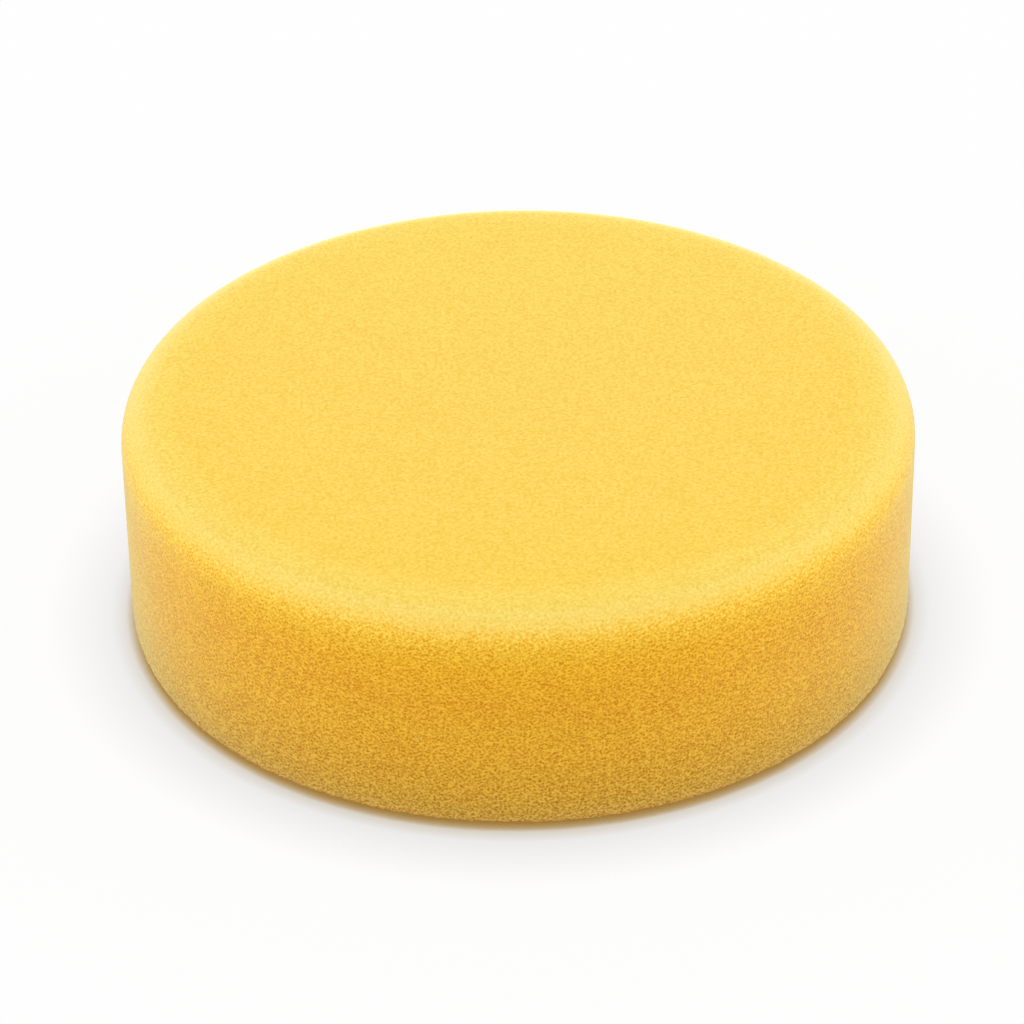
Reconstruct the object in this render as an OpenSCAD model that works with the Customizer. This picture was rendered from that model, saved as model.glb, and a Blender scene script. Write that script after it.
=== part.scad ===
// Round polishing sponge for hand use: one soft disc of open-cell foam.
// It has a flat top and a flat underside, a straight side wall, a well rounded top rim
// and an almost square bottom edge.
// Millimetres, +Z up. The origin is the centre of the flat underside.

/* [Disc] */
// Diameter of the straight side wall
disc_d = 100; // [60:1:180]
// Height from the flat underside to the flat top
disc_h = 30; // [18:1:60]

/* [Edges] */
// Radius of the rounding round the top rim
top_rim_r = 4.5; // [1:0.5:8]
// Radius of the small rounding round the bottom edge
bottom_edge_r = 1.2; // [0.4:0.2:4]

/* [Hidden] */
$fn = 180;
disc_r = disc_d / 2;

// A slab of the half section, from the axis out to radius out_r, between two heights.
module section_slab(out_r, low_z, high_z) {
    translate([0, low_z])
        square([out_r, high_z - low_z]);
}

// The rounding of one edge: a circle that touches the side wall, with its centre at height z.
module section_edge(edge_r, z) {
    translate([disc_r - edge_r, z])
        circle(r = edge_r);
}

// Half of the disc's section, which is turned about the Z axis.
// Each arc meets the side wall and its flat face without a corner.
module half_section() {
    wall_low_z = bottom_edge_r;
    wall_high_z = disc_h - top_rim_r;

    section_slab(disc_r - bottom_edge_r, 0, wall_low_z);
    section_slab(disc_r, wall_low_z, wall_high_z);
    section_slab(disc_r - top_rim_r, wall_high_z, disc_h);
    section_edge(bottom_edge_r, wall_low_z);
    section_edge(top_rim_r, wall_high_z);
}

// The sponge, turned in one piece
module foam_disc() {
    color([0.95, 0.76, 0.27])
        rotate_extrude()
            half_section();
}

foam_disc();
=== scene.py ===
# %% [markdown]
# # A round polishing sponge
# The object is one soft disc of open-cell foam, about as wide as a hand. It has a flat top and a flat
# underside, a straight wall, a well rounded top rim and an almost square bottom edge. Foam is a net of
# thin strands round open pores. Up close the strands are pale and the pores between them are deep
# orange, and this net is what makes the disc look like foam and not like wax.
# This lesson builds the disc in real size, in metres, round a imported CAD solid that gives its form.

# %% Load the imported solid
import math

import bpy
import numpy as np
from mathutils import Matrix, Vector
from mathutils.geometry import delaunay_2d_cdt


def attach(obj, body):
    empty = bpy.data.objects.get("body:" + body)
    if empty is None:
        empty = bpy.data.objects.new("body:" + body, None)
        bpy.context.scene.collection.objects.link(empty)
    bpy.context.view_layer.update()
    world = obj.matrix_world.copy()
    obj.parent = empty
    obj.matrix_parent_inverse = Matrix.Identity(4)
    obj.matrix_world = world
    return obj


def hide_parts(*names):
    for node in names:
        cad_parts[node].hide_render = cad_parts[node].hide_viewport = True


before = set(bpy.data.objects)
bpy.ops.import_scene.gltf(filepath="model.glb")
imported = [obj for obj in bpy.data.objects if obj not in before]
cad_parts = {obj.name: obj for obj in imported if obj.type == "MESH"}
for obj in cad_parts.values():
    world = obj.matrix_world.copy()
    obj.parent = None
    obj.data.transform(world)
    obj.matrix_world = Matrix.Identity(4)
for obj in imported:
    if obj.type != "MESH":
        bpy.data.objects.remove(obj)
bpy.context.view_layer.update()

MM = 0.001

# %% [markdown]
# ## Measure the solid
# Everything made later must sit on the CAD solid, so its few sizes are read from the solid itself. The
# disc stands on its axis, so each vertex is described by its distance from the axis and its height.
# The flat top ends where the rim starts to turn over, and the flat underside ends at the bottom edge.

# %% Read the disc's sizes
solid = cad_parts["foam_disc"]
corners = np.empty(len(solid.data.vertices) * 3)
solid.data.vertices.foreach_get("co", corners)
corners = corners.reshape(-1, 3)
from_axis = np.hypot(corners[:, 0], corners[:, 1])

DISC_R = float(from_axis.max())
DISC_H = float(corners[:, 2].max())
TOUCH = 0.01 * MM
RIM_R = DISC_R - float(from_axis[corners[:, 2] > DISC_H - TOUCH].max())
EDGE_R = DISC_R - float(from_axis[corners[:, 2] < TOUCH].max())
print("radius, height, rim and edge in mm:", [round(v / MM, 2) for v in (DISC_R, DISC_H, RIM_R, EDGE_R)])

# %% [markdown]
# ## The camera
# A long lens from a little above shows the flat top as an ellipse with the wall below it. The camera
# keeps a little roll, because it was held by hand. It is made first, so that every later step can be
# looked at through it.

# %% Set up the camera
CAMERA_AWAY = 560 * MM
CAMERA_ABOVE = math.radians(33.3)
CAMERA_ROLL = math.radians(-0.81)
LENS_MM = 154.3
SENSOR_MM = 36
NEAREST_SEEN = 10 * MM
AIM_ASIDE = -0.91 * MM
AIM_DOWN = 2.32 * MM


def look_from(camera, place, target, roll):
    """Puts the camera at place, looks at target and rolls it about its line of sight."""
    turn = (target - place).to_track_quat("-Z", "Y").to_matrix().to_4x4()
    camera.matrix_world = Matrix.Translation(place) @ turn @ Matrix.Rotation(roll, 4, "Z")


camera = bpy.data.objects.new("camera", bpy.data.cameras.new("camera"))
bpy.context.collection.objects.link(camera)
bpy.context.scene.camera = camera
camera.data.sensor_width = SENSOR_MM
camera.data.lens = LENS_MM
camera.data.clip_start = NEAREST_SEEN

disc_middle = Vector((0, 0, DISC_H / 2))
backwards = Vector((0, -math.cos(CAMERA_ABOVE), math.sin(CAMERA_ABOVE)))
upwards = Vector((0, math.sin(CAMERA_ABOVE), math.cos(CAMERA_ABOVE)))
aim = disc_middle + Vector((AIM_ASIDE, 0, 0)) - AIM_DOWN * upwards
look_from(camera, disc_middle + CAMERA_AWAY * backwards, aim, CAMERA_ROLL)
print("camera at", [round(v, 3) for v in camera.matrix_world.translation])

# %% [markdown]
# ## The section as a path
# A turned form is easiest to work on through its section. The path below starts on the axis at the top,
# runs out over the flat top, round the rim, down the wall, round the bottom edge and back to the axis
# underneath. Each step of the path knows its distance from the axis, its height and which way the foam
# faces there. One number, the length along the path, is then enough to name any ring of the surface.

# %% Straight and rounded stretches
STEP = 0.02 * MM


def straight(start, end, facing):
    """Steps along a straight stretch: place (radius, height) and facing (out, up)."""
    count = max(2, round(math.dist(start, end) / STEP))
    share = (np.arange(count) + 0.5)[:, None] / count
    place = np.array(start) * (1 - share) + np.array(end) * share
    return place, np.tile(facing, (count, 1))


def rounding(centre, radius, start, end):
    """Steps round an arc between two tilts of its facing, measured down from straight up."""
    count = max(2, round(radius * abs(end - start) / STEP))
    tilt = start + (end - start) * (np.arange(count) + 0.5) / count
    facing = np.column_stack([np.sin(tilt), np.cos(tilt)])
    return np.array(centre) + radius * facing, facing


# %% Walk round the section
stretches = [
    straight((0, DISC_H), (DISC_R - RIM_R, DISC_H), (0, 1)),
    rounding((DISC_R - RIM_R, DISC_H - RIM_R), RIM_R, 0, math.pi / 2),
    straight((DISC_R, DISC_H - RIM_R), (DISC_R, EDGE_R), (1, 0)),
    rounding((DISC_R - EDGE_R, EDGE_R), EDGE_R, math.pi / 2, math.pi),
    straight((DISC_R - EDGE_R, 0), (0, 0), (0, -1)),
]
path = np.concatenate([place for place, facing in stretches])
path_facing = np.concatenate([facing for place, facing in stretches])
path_step = np.hypot(*np.diff(path, axis=0, prepend=[[0, DISC_H]]).T)
path_length = np.cumsum(path_step)

top_end = DISC_R - RIM_R
rim_end = top_end + RIM_R * math.pi / 2
wall_end = rim_end + DISC_H - RIM_R - EDGE_R
edge_end = wall_end + EDGE_R * math.pi / 2
path_ends = [round(end / MM, 2) for end in (top_end, rim_end, wall_end, edge_end)]
print("ends of top, rim, wall and edge in mm:", path_ends)
print("path length in mm:", round(path_length[-1] / MM, 2), "in", len(path), "steps")

# %% [markdown]
# ## Where the pores lie
# The pores of foam lie about evenly but never in rows. Seeds in a sunflower head do almost that: each
# new seed turns by the golden angle and moves out a little, and no two rows ever line up. The same
# spiral is wound over the whole disc here. The pores are closest on the wall, where they show best, and
# widest apart underneath. Each seed is then nudged at random, which hides the spiral.

# %% Wind the spiral of pores
PITCH_TOP = 1.25 * MM
PITCH_RIM = 0.78 * MM
PITCH_WALL = 0.66 * MM
PITCH_UNDER = 3.4 * MM
PITCH_CHANGE = 3 * MM
GOLDEN_ANGLE = math.pi * (3 - math.sqrt(5))

pitch_marks = [top_end - PITCH_CHANGE, top_end, rim_end, edge_end, edge_end + PITCH_CHANGE]
pitch_there = [PITCH_TOP, PITCH_RIM, PITCH_WALL, PITCH_WALL, PITCH_UNDER]
path_pitch = np.interp(path_length, pitch_marks, pitch_there)

cell_area = math.sqrt(3) / 2 * path_pitch**2
pores_passed = np.cumsum(math.tau * path[:, 0] * path_step / cell_area)
pore_count = int(pores_passed[-1])
seed = np.arange(pore_count)
pore_along = np.interp(seed + 0.5, pores_passed, path_length)
pore_pitch = np.interp(pore_along, path_length, path_pitch)
pore_angle = seed * GOLDEN_ANGLE
print("pores:", pore_count)

# %% Nudge the pores off the spiral
NUDGE = 0.30
RANDOM_START = 7

rng = np.random.default_rng(RANDOM_START)
nudge = rng.uniform(-NUDGE, NUDGE, (pore_count, 2)) * pore_pitch[:, None]
pore_along = np.clip(pore_along + nudge[:, 0], path_length[0], path_length[-1])
pore_radius = np.interp(pore_along, path_length, path[:, 0])
pore_angle = pore_angle + nudge[:, 1] / np.maximum(pore_radius, pore_pitch)
print("furthest nudge in mm:", round(float(abs(nudge).max()) / MM, 2))

# %% [markdown]
# ## Unroll the disc
# Neighbouring pores share a wall of strands. To find the neighbours, the whole surface is laid flat by a
# map that keeps angles, as some maps of the world do: the top is at the middle, the wall is a ring round
# it and the underside lies outside that. Flat, a Delaunay triangulation joins each pore to its
# neighbours. The map stretches sizes but not shapes, so the same triangles are right on the disc.

# %% Join neighbouring pores
SAME_POINT = 1e-12

path_spread = np.cumsum(path_step / path[:, 0])
pore_spread = np.exp(np.interp(pore_along, path_length, path_spread) - path_spread[-1] / 2)
flat = pore_spread[:, None] * np.column_stack([np.cos(pore_angle), np.sin(pore_angle)])
found = delaunay_2d_cdt([Vector(p) for p in flat.tolist()], [], [], 0, SAME_POINT)
joined = np.array(found[2])
assert len(found[0]) == pore_count and joined.shape[1] == 3

first_side = flat[joined[:, 1]] - flat[joined[:, 0]]
second_side = flat[joined[:, 2]] - flat[joined[:, 0]]
clockwise = np.cross(first_side, second_side) < 0
joined[clockwise] = joined[clockwise][:, ::-1]
print("triangles between pores:", len(joined))

# %% [markdown]
# ## From triangles to cells
# Each triangle between three pores holds one knot, where the strands round those pores meet. Round each
# pore its knots make a ring, and the foam slopes down from the ring to the bottom of the pore. The
# triangulation is open at the very middle of the underside, so one last knot closes it there. Every
# side of a triangle, walked in one direction, then gives one facet: the pore it starts from and the
# knots on its left and on its right.

# %% Close the middle of the underside
side_from = joined.ravel()
side_to = np.roll(joined, -1, axis=1).ravel()
side_knot = np.repeat(np.arange(len(joined)), 3)
open_sides = ~np.isin(side_to * pore_count + side_from, side_from * pore_count + side_to)
closing_from = side_to[open_sides]
closing_to = side_from[open_sides]

side_from = np.concatenate([side_from, closing_from])
side_to = np.concatenate([side_to, closing_to])
side_knot = np.concatenate([side_knot, np.full(len(closing_from), len(joined))])
print("sides closed underneath:", len(closing_from))

# %% Make a facet for each side
side_key = side_from * pore_count + side_to
order = np.argsort(side_key)
twin = order[np.searchsorted(side_key[order], side_to * pore_count + side_from)]
facets = np.column_stack([side_from, side_knot[twin] + pore_count, side_knot + pore_count])
print("facets:", len(facets))

# %% [markdown]
# ## Points on the disc
# So far pores and knots are only numbers on a path and an angle. Each pore now gets its point on the
# disc and the direction that the foam faces there. A knot lies in the middle of its three pores.

# %% Place pores and knots


def on_path(along, values):
    """Reads a value at each length along the section path."""
    return np.interp(along, path_length, values)


def turned(out, angle, up):
    """Turns a distance from the axis and a height into a point in space."""
    return np.column_stack([out * np.cos(angle), out * np.sin(angle), up])


pore_at = turned(on_path(pore_along, path[:, 0]), pore_angle, on_path(pore_along, path[:, 1]))
pore_out = on_path(pore_along, path_facing[:, 0])
pore_facing = turned(pore_out, pore_angle, on_path(pore_along, path_facing[:, 1]))
knot_at = np.vstack([pore_at[joined].mean(axis=1), pore_at[closing_from].mean(axis=0)])
knot_facing = np.vstack([pore_facing[joined].mean(axis=1), [0, 0, -1]])
knot_facing /= np.linalg.norm(knot_facing, axis=1)[:, None]
knot_along = np.append(pore_along[joined].mean(axis=1), path_length[-1])

place = np.vstack([pore_at, knot_at])
facing = np.vstack([pore_facing, knot_facing])
along = np.concatenate([pore_along, knot_along])
is_pore = np.arange(len(place)) < pore_count
print("knots:", len(knot_at))

# %% [markdown]
# ## Sink the pores
# The wall is cut straight through the foam, so its pores lie open and the strands stand proud. The top
# has been buffed flat, which leaves it nearly smooth. Every pore therefore sinks in along the direction
# the foam faces, deep where the skin is steep and hardly at all on the flat top. Random strengths keep
# any two pores from looking alike.

# %% Choose how deep each point sinks
PORE_DEPTH = 0.08 * MM
STRAND_SINK = 0.02 * MM
BUFFED_DEPTH = 0.04 * MM
LEAST_OPEN = 0.35

steepness = 1 - np.clip(facing[:, 2], 0, 1)
strength = rng.uniform(0, 1, len(place))
pore_depth = (LEAST_OPEN + (1 - LEAST_OPEN) * strength) * PORE_DEPTH
open_depth = np.where(is_pore, pore_depth, strength * STRAND_SINK)
buffed_depth = is_pore * strength * BUFFED_DEPTH
depth = steepness * open_depth + (1 - steepness) * buffed_depth
print("deepest pore in mm:", round(float(depth.max()) / MM, 3))

# %% [markdown]
# ## Fray the foot
# Foam is torn a little where it is cut, so its foot never meets the table in a clean line. Near the
# bottom edge every point, strand or pore, sinks by another random amount. The line of the foot then
# runs in and out by about a tenth of a millimetre, as a row of cut strands does.

# %% Fray the foot and sink all points
RAGGED = 0.16 * MM
FOOT_REACH = 1.5 * MM

foot_marks = [wall_end - FOOT_REACH, wall_end, edge_end, edge_end + FOOT_REACH]
near_foot = np.interp(along, foot_marks, [0, 1, 1, 0])
depth = depth + near_foot * rng.uniform(0, 1, len(place)) * RAGGED
points = place - facing * depth[:, None]
print("deepest point at the foot in mm:", round(float(depth.max()) / MM, 3))

# %% [markdown]
# ## Build the mesh
# A mesh is a list of points and a list of facets that name their corners. Smooth shading blends the
# light over neighbouring facets, so that the small pits look soft and not cut in glass. Two numbers are
# stored with each point for the material to read: how open the foam is there, and how far along the
# section path the point lies. A material can then follow the rim or the foot exactly, whatever their
# size.

# %% Build the mesh


def add_mesh(name, points, facets):
    """A new object with this mesh, linked to the scene."""
    mesh = bpy.data.meshes.new(name)
    mesh.from_pydata(points.tolist(), [], facets.tolist(), shade_flat=False)
    thing = bpy.data.objects.new(name, mesh)
    bpy.context.collection.objects.link(thing)
    return thing


foam = add_mesh("polishing_foam", points, facets)
print("vertices:", len(foam.data.vertices), "facets:", len(foam.data.polygons))

# %% Store openness and place along the path


def add_vertex_value(thing, name, values):
    """Stores one number for each vertex, for a material to read."""
    layer = thing.data.attributes.new(name, "FLOAT", "POINT")
    layer.data.foreach_set("value", np.asarray(values, np.float32))


PORE_OPEN = 0.45
STRAND_OPEN = 0.25
TOP_OPEN = 0.5

openness = np.where(is_pore, PORE_OPEN + (1 - PORE_OPEN) * strength, STRAND_OPEN * strength)
openness = TOP_OPEN + (openness - TOP_OPEN) * steepness
add_vertex_value(foam, "openness", openness)
add_vertex_value(foam, "along", along)
print("openness from", round(float(openness.min()), 2), "to", round(float(openness.max()), 2))

# %% [markdown]
# ## Level the light at the foot
# The bottom edge turns under within about a millimetre. Seen from above, that turn is met at a grazing
# angle, where the soft gleam added later would draw a bright line round the foot. Real strands stick
# out there and break such a line. The direction that shading works with can be set by hand, apart from
# the shape, so it is held level over the turn. A row of zeros leaves a vertex as it was.

# %% Hold the shading level round the bottom edge
LEVEL_PAST = 0.5 * MM
LEAST_LENGTH = 1e-9

level = facing * [1, 1, 0]
level /= np.maximum(np.linalg.norm(level, axis=1), LEAST_LENGTH)[:, None]
at_edge = (along > wall_end) & (along < edge_end + LEVEL_PAST)
foam.data.normals_split_custom_set_from_vertices((level * at_edge[:, None]).tolist())
print("vertices held level:", int(at_edge.sum()))

# %% [markdown]
# ## Lay the skin out flat
# To print a picture on the foam, each facet needs a place on a flat sheet, called its UV place. The
# skin is cut like a tin can: the top and the underside become two discs, and the wall becomes two
# strips, each half way round. The discs and strips are packed side by side into one square. The
# underside is printed smaller than the rest, because nobody looks at it closely.

# %% Sort the corners into top, underside and strips
UV_GAP = 2 * MM

corner = facets.ravel()
corner_pore = np.repeat(facets[:, 0], 3)
on_top = pore_along[corner_pore] < top_end
under = pore_along[corner_pore] > edge_end
strip_height = edge_end - top_end
strip_width = math.pi * DISC_R
half = (pore_angle[corner_pore] % math.tau) // math.pi
corner_angle = np.arctan2(place[corner, 1], place[corner, 0])
middle_angle = (half + 0.5) * math.pi
corner_angle = middle_angle + (corner_angle - middle_angle + math.pi) % math.tau - math.pi
print("corners on top and under:", int(on_top.sum()), int(under.sum()))

# %% Make the UV map
UNDER_SHRINK = 0.72

across = corner_angle * DISC_R - half * strip_width + UV_GAP
upward = (half + 1) * (strip_height + UV_GAP) - (along[corner] - top_end) + UV_GAP
sheet = np.column_stack([across, upward])
disc_bottom = 2 * (strip_height + UV_GAP) + 2 * UV_GAP
top_centre = np.array([top_end + UV_GAP, disc_bottom + top_end])
sheet[on_top] = place[corner[on_top], :2] + top_centre
under_r = (DISC_R - EDGE_R) * UNDER_SHRINK
under_centre = top_centre + np.array([top_end + under_r + 2 * UV_GAP, under_r - top_end])
sheet[under] = place[corner[under], :2] * UNDER_SHRINK + under_centre

sheet_side = float(sheet.max()) + UV_GAP
layer = foam.data.uv_layers.new(name="OFBake")
layer.uv.foreach_set("vector", (sheet / sheet_side).astype(np.float32).ravel())
print("UV sheet side in mm:", round(sheet_side / MM, 1), "lowest corner:", round(float(sheet.min()) / MM, 2))

# %% [markdown]
# ## Helpers for materials
# A Blender material is a net of small nodes. Every node does one sum, and links carry the results on.
# These helpers each add one node, so that a material can be written almost like a formula.

# %% Start a material and feed its sockets


def new_material(name):
    """An empty material, with its net of nodes and its output node."""
    material = bpy.data.materials.new(name)
    material.use_nodes = True
    material.node_tree.nodes.clear()
    return material, material.node_tree, material.node_tree.nodes.new("ShaderNodeOutputMaterial")


def feed(tree, socket, value):
    """Gives a socket its value: the output of another node, or a plain number or colour."""
    if isinstance(value, bpy.types.NodeSocket):
        tree.links.new(value, socket)
    else:
        socket.default_value = value


foam_material, tree, output = new_material("open_cell_foam")
print("material:", foam_material.name)

# %% Sums and soft passages
GAP_START = 0.05
GAP_FULL = 0.75


def sums(tree, how, *values, clamp=False):
    """One Math node, whose output is the result of the named sum."""
    node = tree.nodes.new("ShaderNodeMath")
    node.operation = how
    node.use_clamp = clamp
    for socket, value in zip(node.inputs, values):
        feed(tree, socket, value)
    return node.outputs[0]


def passage(tree, value, start, end):
    """0 at the start, 1 at the end, and a soft passage between."""
    node = tree.nodes.new("ShaderNodeMapRange")
    node.interpolation_type = "SMOOTHSTEP"
    for socket, given in zip(node.inputs, (value, start, end)):
        feed(tree, socket, given)
    return node.outputs[0]


def vertex_value(tree, name):
    """Reads a number that was stored with each vertex."""
    node = tree.nodes.new("ShaderNodeAttribute")
    node.attribute_name = name
    return node.outputs["Fac"]


buffed = passage(tree, vertex_value(tree, "along"), rim_end, top_end)
gap = passage(tree, vertex_value(tree, "openness"), GAP_START, GAP_FULL)
print("nodes so far:", len(tree.nodes))

# %% [markdown]
# ## The net of strands
# The mesh has a pit for each pore, but the strands between are finer than any mesh should be, so the
# material draws them. Clouds of soft noise have a middle value, and the places where they pass through
# it form thin winding lines, much as strands of foam do. The clouds are solid, so the net runs unbroken
# over the rim. On the buffed top the strands are flattened, so the soft clouds themselves are used.

# %% Draw the strands
NOISE_MIDDLE = 0.5
STRAND_SCALE = 2600
STRAND_ROUGH = 0.5
STRAND_WIDTH = 0.15
STRAND_SHARE = 0.42
BUFFED_SHARE = 0.95
BUFFED_LEVEL = 0.14


def noise(tree, scale, detail=0.0, up=0.0):
    """Soft random clouds in real size, about scale clouds to the metre, moved up by so much."""
    moved = tree.nodes.new("ShaderNodeVectorMath")
    feed(tree, moved.inputs[0], tree.nodes.new("ShaderNodeTexCoord").outputs["Object"])
    moved.inputs[1].default_value = (0, 0, -up)
    node = tree.nodes.new("ShaderNodeTexNoise")
    feed(tree, node.inputs["Vector"], moved.outputs[0])
    feed(tree, node.inputs["Scale"], scale)
    feed(tree, node.inputs["Detail"], detail)
    return node.outputs[0]


off_middle = sums(tree, "SUBTRACT", noise(tree, STRAND_SCALE, STRAND_ROUGH), NOISE_MIDDLE)
strand = passage(tree, sums(tree, "ABSOLUTE", off_middle), STRAND_WIDTH, 0.0)
open_net = sums(tree, "MULTIPLY", strand, -STRAND_SHARE)
buffed_net = sums(tree, "MULTIPLY_ADD", off_middle, -BUFFED_SHARE, -BUFFED_LEVEL)
change = sums(tree, "SUBTRACT", buffed_net, open_net)
net = sums(tree, "MULTIPLY_ADD", change, buffed, open_net)
print("strands about", round(1 / (STRAND_SCALE * MM), 2), "mm apart")

# %% [markdown]
# ## The small pits
# Between the strands lie deep little pits, less than half a millimetre apart and evenly spread. A
# Voronoi node does this: it scatters points through space and gives the distance to the nearest, which
# is small in the middle of a pit. Its points start from a straight grid. The grid is turned askew and
# its points are scattered well, so that no rows show on the wall. The buffed top has none of these pits.

# %% Scatter the pits
PIT_SCALE = 2500
PIT_SCATTER = 0.72
PIT_EDGE = 0.52
PIT_SHARE = 1.05
ASKEW_AXIS = (0.3, 0.5, 0.8)
ASKEW_TURN = 1.0

askew = tree.nodes.new("ShaderNodeVectorRotate")
feed(tree, askew.inputs["Vector"], tree.nodes.new("ShaderNodeTexCoord").outputs["Object"])
askew.inputs["Axis"].default_value = ASKEW_AXIS
askew.inputs["Angle"].default_value = ASKEW_TURN
scattered = tree.nodes.new("ShaderNodeTexVoronoi")
feed(tree, scattered.inputs["Vector"], askew.outputs[0])
scattered.inputs["Scale"].default_value = PIT_SCALE
scattered.inputs["Randomness"].default_value = PIT_SCATTER
# The middle of each pit is drawn darker: painted shade in a pit too small for the mesh to hold.
out_of_pit = sums(tree, "SUBTRACT", scattered.outputs["Distance"], PIT_EDGE)
pit_share = sums(tree, "MULTIPLY_ADD", buffed, PIT_SHARE, -PIT_SHARE)
pits = sums(tree, "MULTIPLY", out_of_pit, pit_share)
print("pits about", round(1 / (PIT_SCALE * MM), 2), "mm apart")

# %% [markdown]
# ## Light on the strands
# Light comes mostly from above, so every strand is brighter on its upper side and darker below. Taking
# the same clouds a little higher and a little lower, and subtracting one from the other, gives just
# that. It costs far less than real relief this fine, and it looks the same from any side. Finer grain
# and wide faint blotches are added too, since no two spots of foam have quite the same colour.

# %% Add up the shade
LIT_SCALE = 3100
LIT_STEP = 0.08 * MM
LIT_SHARE = 0.95
FINE_SCALE = 3300
FINE_SHARE = 0.32
BLOTCH_SCALE = 120
BLOTCH_SHARE = 0.06
GAP_SHARE = 0.16
MIDDLE_SHADE = 0.535

higher = noise(tree, LIT_SCALE, up=-LIT_STEP)
lower = noise(tree, LIT_SCALE, up=LIT_STEP)
lit = sums(tree, "SUBTRACT", lower, higher)
fine = sums(tree, "SUBTRACT", noise(tree, FINE_SCALE), NOISE_MIDDLE)
blotch = sums(tree, "SUBTRACT", noise(tree, BLOTCH_SCALE), NOISE_MIDDLE)

# Open pores of the mesh draw towards the gap colour: painted shade at the bottom of each pit.
shade = sums(tree, "MULTIPLY_ADD", gap, GAP_SHARE, MIDDLE_SHADE)
shade = sums(tree, "ADD", shade, net)
shade = sums(tree, "ADD", shade, pits)
shade = sums(tree, "MULTIPLY_ADD", lit, LIT_SHARE, shade)
shade = sums(tree, "MULTIPLY_ADD", fine, -FINE_SHARE, shade)
shade = sums(tree, "MULTIPLY_ADD", blotch, BLOTCH_SHARE, shade, clamp=True)
print("nodes in the foam's shade:", len(tree.nodes))

# %% [markdown]
# ## The skin's colours, with painted light and shade
# The foam is dyed one yellow, and these rows paint the studio's light and shade into it. The wall, where the
# pores stand open and less light falls, is painted more orange than the top, which is lit from above. The
# rounded rim carries a painted pale highlight, and the wall is painted darker and duller towards the foot,
# for the shade near the table and the pale light that it bounces up. The underside is as orange as the wall.
# Each row below gives a place along the section path, in mm from the middle of the top, and two colours
# there: that of the strands and that of the gaps. The rows become two ramps, and the shade from the last
# step mixes them.

# %% List the skin's colours
SKIN_AND_PAINTED_LIGHT = [
    # Painted light: the top, lit from above, is paler than the wall.
    (0.0, (254, 217, 95), (237, 189, 35)),  # the buffed top
    (42.0, (255, 218, 92), (238, 189, 33)),
    (45.5, (254, 224, 104), (241, 195, 56)),  # the rim starts
    # Painted highlight: the palest ring, where the rounded rim catches the light.
    (48.0, (251, 224, 124), (237, 201, 84)),  # the palest ring of the rim
    (49.5, (250, 217, 115), (234, 189, 61)),
    (50.5, (249, 213, 100), (227, 169, 22)),
    (51.5, (248, 206, 79), (218, 152, 3)),  # the rim turns orange
    (53.0, (241, 196, 58), (208, 140, 0)),  # the wall starts
    (55.0, (239, 188, 47), (202, 129, 0)),
    # Painted shade: from here down the wall grows darker towards the foot.
    (60.0, (234, 180, 47), (193, 119, 0)),  # the upper wall
    (66.0, (232, 182, 53), (189, 119, 0)),
    (70.0, (226, 178, 56), (180, 113, 0)),  # the lower wall
    (73.0, (221, 176, 62), (171, 108, 0)),
    # Painted shade and light bounced up from the table: the foot is darker and duller than the wall above.
    (76.0, (212, 172, 70), (159, 105, 0)),  # the dull foot
    (77.2, (214, 173, 88), (161, 110, 16)),
    # Painted shade: the bottom edge, turned towards the table, is darkest.
    (78.2, (194, 149, 64), (150, 104, 14)),  # the bottom edge
    (78.6, (194, 149, 64), (150, 104, 14)),
    (79.8, (236, 188, 54), (202, 130, 0)),  # the underside
]


def colour(red, green, blue):
    """A linear colour from the usual 0 to 255 numbers, by the rule of the sRGB standard."""
    scaled = np.array([red, green, blue]) / 255
    linear = np.where(scaled <= 0.04045, scaled / 12.92, ((scaled + 0.055) / 1.055) ** 2.4)
    return (*linear.tolist(), 1.0)


path_end = float(path_length[-1])
strand_steps = [(mm * MM / path_end, colour(*strand_and_painted_light)) for mm, strand_and_painted_light, gap_and_painted_shade in SKIN_AND_PAINTED_LIGHT]
gap_steps = [(mm * MM / path_end, colour(*gap_and_painted_shade)) for mm, strand_and_painted_light, gap_and_painted_shade in SKIN_AND_PAINTED_LIGHT]
print("colour steps:", len(strand_steps))

# %% Mix strands and gaps
# A Mix node has its own sockets for each kind of value. These are the places of those for colours.
FIRST_COLOUR = 6
SECOND_COLOUR = 7
MIXED_COLOUR = 2


def colour_steps(tree, value, steps):
    """Reads a colour off a row of (place from 0 to 1, colour) steps."""
    node = tree.nodes.new("ShaderNodeValToRGB")
    feed(tree, node.inputs[0], value)
    row = node.color_ramp.elements
    while len(row) < len(steps):
        row.new(1.0)
    for element, (where, step_colour) in zip(row, steps):
        element.position = where
        element.color = step_colour
    return node.outputs[0]


def mixed(tree, share, first, second):
    """Mixes two colours: all the first at share 0, all the second at share 1."""
    node = tree.nodes.new("ShaderNodeMix")
    node.data_type = "RGBA"
    feed(tree, node.inputs["Factor"], share)
    feed(tree, node.inputs[FIRST_COLOUR], first)
    feed(tree, node.inputs[SECOND_COLOUR], second)
    return node.outputs[MIXED_COLOUR]


along_share = sums(tree, "DIVIDE", vertex_value(tree, "along"), path_end)
strand_colour = colour_steps(tree, along_share, strand_steps)
gap_colour = colour_steps(tree, along_share, gap_steps)
# The pale strands and the gaps round them are the foam's own net, but the gaps' deeper orange is painted
# shade inside the pores.
skin = mixed(tree, shade, strand_colour, gap_colour)
print("colour steps in each ramp:", len(SKIN_AND_PAINTED_LIGHT))

# %% [markdown]
# ## The foam's surface
# Foam never shines, so its roughness is high and its specular reflection is off. It does glow a little
# where it is seen at a slant, because there the eye meets many strand tips and few gaps, as on velvet.
# The Sheen of the Principled shader is made for this. Its tint is a pale yellow, the foam's own colour
# thinned with light.

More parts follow.
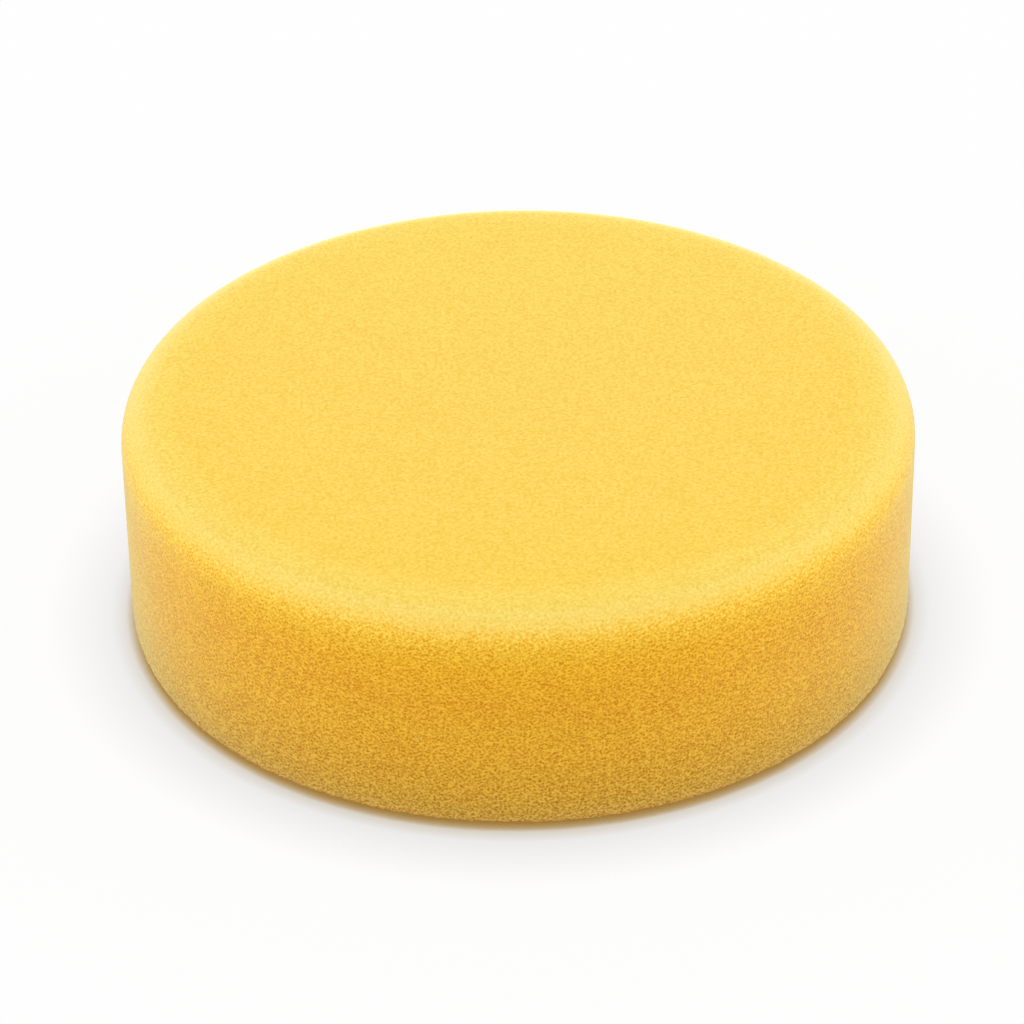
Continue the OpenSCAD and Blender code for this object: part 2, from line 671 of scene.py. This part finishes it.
# %% Finish the foam's surface
FOAM_ROUGHNESS = 0.9
SHEEN_ROUGHNESS = 0.42
SHEEN_TINT = (0.96, 0.955, 0.55, 1.0)

surface = tree.nodes.new("ShaderNodeBsdfPrincipled")
feed(tree, surface.inputs["Base Color"], skin)
surface.inputs["Roughness"].default_value = FOAM_ROUGHNESS
surface.inputs["Specular IOR Level"].default_value = 0.0
surface.inputs["Sheen Weight"].default_value = 1.0
surface.inputs["Sheen Roughness"].default_value = SHEEN_ROUGHNESS
surface.inputs["Sheen Tint"].default_value = SHEEN_TINT
feed(tree, output.inputs["Surface"], surface.outputs[0])
foam.data.materials.append(foam_material)
print("foam material on", foam.name)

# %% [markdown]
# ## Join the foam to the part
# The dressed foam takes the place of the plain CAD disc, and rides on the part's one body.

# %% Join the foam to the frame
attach(foam, "root")
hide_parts("foam_disc")
print("joined:", foam.name, "in place of", solid.name)

# %% [markdown]
# ## The floor
# The disc lies on plain white paper. A white thing under soft light is easily too bright or too grey,
# so for the camera the paper is mostly drawn as an even white glow, and only a small share of it takes
# real light. For every other ray it is a pale card that bounces light up on the wall, as paper does.

# %% Lay the floor
FLOOR_SIDE = 6.0

side = FLOOR_SIDE / 2
floor_corners = np.array([(-side, -side, 0), (side, -side, 0), (side, side, 0), (-side, side, 0)])
floor = add_mesh("floor", floor_corners, np.array([[0, 1, 2, 3]]))
floor_material, tree, output = new_material("white_floor")
print("floor side in metres:", FLOOR_SIDE)

# %% [markdown]
# ## The shadow on the floor
# Under soft light the shadow is a wide faint shade, with a narrow dark line where the disc touches the
# paper. An Ambient Occlusion node looks up from each spot and tells how much of that view is covered
# within a set reach, which is how such a shadow arises. Three of them with different reaches are taken
# off the white, and the view is tipped back, so that the shade is deepest in front. Yellow foam throws
# yellow light back on the paper, so blue is taken away most and the line of contact ends golden brown.

# %% Measure how covered the floor is
CLOSE_LOOKS = 4
WIDE_REACH = 12 * MM
WIDE_LEAN = math.radians(16)
NEAR_REACH = 3.2 * MM
TIGHT_REACH = 1.4 * MM
NEAR_LEAN = math.radians(35)


def nearness(tree, reach, lean):
    """How much of the view up from the floor is covered within reach; lean tips the view back."""
    node = tree.nodes.new("ShaderNodeAmbientOcclusion")
    node.samples = CLOSE_LOOKS
    node.inputs["Distance"].default_value = reach
    way = tree.nodes.new("ShaderNodeCombineXYZ")
    way.inputs["Y"].default_value = math.sin(lean)
    way.inputs["Z"].default_value = math.cos(lean)
    feed(tree, node.inputs["Normal"], way.outputs[0])
    return sums(tree, "SUBTRACT", 1.0, node.outputs["AO"])


wide = nearness(tree, WIDE_REACH, WIDE_LEAN)
near = nearness(tree, NEAR_REACH, NEAR_LEAN)
tight = nearness(tree, TIGHT_REACH, NEAR_LEAN)
print("reaches in mm:", [round(reach / MM, 1) for reach in (WIDE_REACH, NEAR_REACH, TIGHT_REACH)])

# %% Shade the paper
WHITE = 0.992
WIDE_SHARE = 0.37
NEAR_TINT = (0.24, 0.36, 0.54)
TIGHT_TINT = (0.38, 0.60, 0.90)
CONTACT = (0.34, 0.18, 0.025)

paper = sums(tree, "MULTIPLY_ADD", wide, -WIDE_SHARE, WHITE)
shaded = tree.nodes.new("ShaderNodeCombineColor")
for channel, near_tint, tight_tint, least in zip(shaded.inputs, NEAR_TINT, TIGHT_TINT, CONTACT):
    part = sums(tree, "MULTIPLY_ADD", near, -near_tint, paper)
    part = sums(tree, "MULTIPLY_ADD", tight, -tight_tint, part)
    feed(tree, channel, sums(tree, "MAXIMUM", part, least))
print("nodes in the paper's shade:", len(tree.nodes))

# %% Finish the floor
FLOOR_BOUNCE = 0.8
FLOOR_REAL = 0.08
PAPER_WHITE = 0.99


def shader(tree, kind, value):
    """A plain shader of this colour."""
    node = tree.nodes.new(kind)
    feed(tree, node.inputs["Color"], value)
    return node.outputs[0]


def either(tree, share, first, second):
    """Mixes two shaders: all the first at share 0, all the second at share 1."""
    node = tree.nodes.new("ShaderNodeMixShader")
    for socket, value in zip(node.inputs, (share, first, second)):
        feed(tree, socket, value)
    return node.outputs[0]


glow = shader(tree, "ShaderNodeEmission", shaded.outputs[0])
real = shader(tree, "ShaderNodeBsdfDiffuse", (PAPER_WHITE, PAPER_WHITE, PAPER_WHITE, 1))
bounce = shader(tree, "ShaderNodeBsdfDiffuse", (FLOOR_BOUNCE, FLOOR_BOUNCE, FLOOR_BOUNCE, 1))
ray = tree.nodes.new("ShaderNodeLightPath").outputs
looked_at = sums(tree, "ADD", ray["Is Camera Ray"], ray["Is Glossy Ray"])
looked_at = sums(tree, "ADD", looked_at, ray["Is Transmission Ray"], clamp=True)
seen = either(tree, FLOOR_REAL, glow, real)
feed(tree, output.inputs["Surface"], either(tree, looked_at, bounce, seen))
floor.data.materials.append(floor_material)
print("share of the paper in real light:", FLOOR_REAL)

# %% [markdown]
# ## Soft studio light
# The disc stands in a white tent. Light comes from all round, and more from the sides than from
# straight above, so the wall is as well lit as the top. The sky of the scene does this: its strength
# falls evenly from the horizon to the zenith. Two broad, far and weak lamps stand low on the left and
# on the right, and lift the two ends of the wall a little above its front.

# %% Light the room
HORIZON = 1.82
ZENITH = 0.44

world = bpy.data.worlds.new("soft_room")
bpy.context.scene.world = world
world.use_nodes = True
tree = world.node_tree
split = tree.nodes.new("ShaderNodeSeparateXYZ")
feed(tree, split.inputs[0], tree.nodes.new("ShaderNodeTexCoord").outputs["Generated"])
sky = tree.nodes.new("ShaderNodeMapRange")
for socket, value in zip(sky.inputs, (split.outputs["Z"], 0.0, 1.0, HORIZON, ZENITH)):
    feed(tree, socket, value)
tree.nodes["Background"].inputs["Color"].default_value = (1, 1, 1, 1)
feed(tree, tree.nodes["Background"].inputs["Strength"], sky.outputs[0])
print("sky from", HORIZON, "at the horizon to", ZENITH, "straight above")

# %% Add the two side lamps
LAMP_STRENGTH = 0.26
LAMP_UP = 12
LAMP_WIDTH = 50
RIGHT = 0
LEFT = 180


def add_lamp(name, way_round):
    """A broad far lamp that stands at this angle round the disc, in degrees."""
    lamp = bpy.data.objects.new(name, bpy.data.lights.new(name, "SUN"))
    bpy.context.collection.objects.link(lamp)
    lamp.data.energy = LAMP_STRENGTH * math.pi
    lamp.data.angle = math.radians(LAMP_WIDTH)
    flat_way = Matrix.Rotation(math.radians(way_round), 3, "Z") @ Vector((1, 0, 0))
    stands = flat_way * math.cos(math.radians(LAMP_UP))
    stands.z = math.sin(math.radians(LAMP_UP))
    lamp.matrix_world = stands.to_track_quat("Z", "Y").to_matrix().to_4x4()


add_lamp("right_lamp", RIGHT)
add_lamp("left_lamp", LEFT)
bpy.context.scene.view_settings.view_transform = "Standard"
